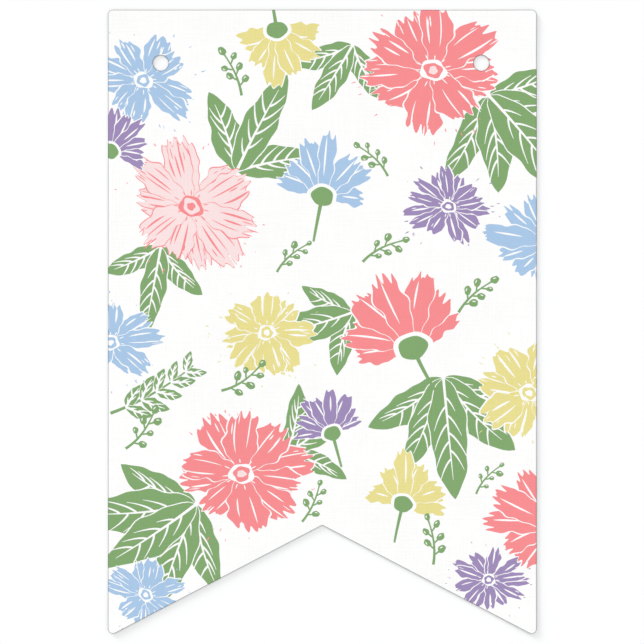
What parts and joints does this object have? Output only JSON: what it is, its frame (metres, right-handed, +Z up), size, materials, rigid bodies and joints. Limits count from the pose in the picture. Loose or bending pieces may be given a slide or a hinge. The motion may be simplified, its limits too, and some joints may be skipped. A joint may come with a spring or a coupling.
{
  "type": "fabric bunting flag",
  "caption": "Swallowtail bunting flag of printed fabric, with rounded corners, a V-notched lower edge and round cord holes punched near its top corners.",
  "frame": {"origin": "under the middle of the flag's outline, on the surface that it lies on", "axes": "+Z up out of the printed face, +Y from the tails to the top edge, +X across the flag to the right"},
  "size_m": [0.17, 0.2474, 0.001],
  "materials": {
    "printed_cloth": "matt woven polyester cloth with a flat print on its face"
  },
  "bodies": {
    "root": {"flag": "printed_cloth"}
  },
  "joints": []
}
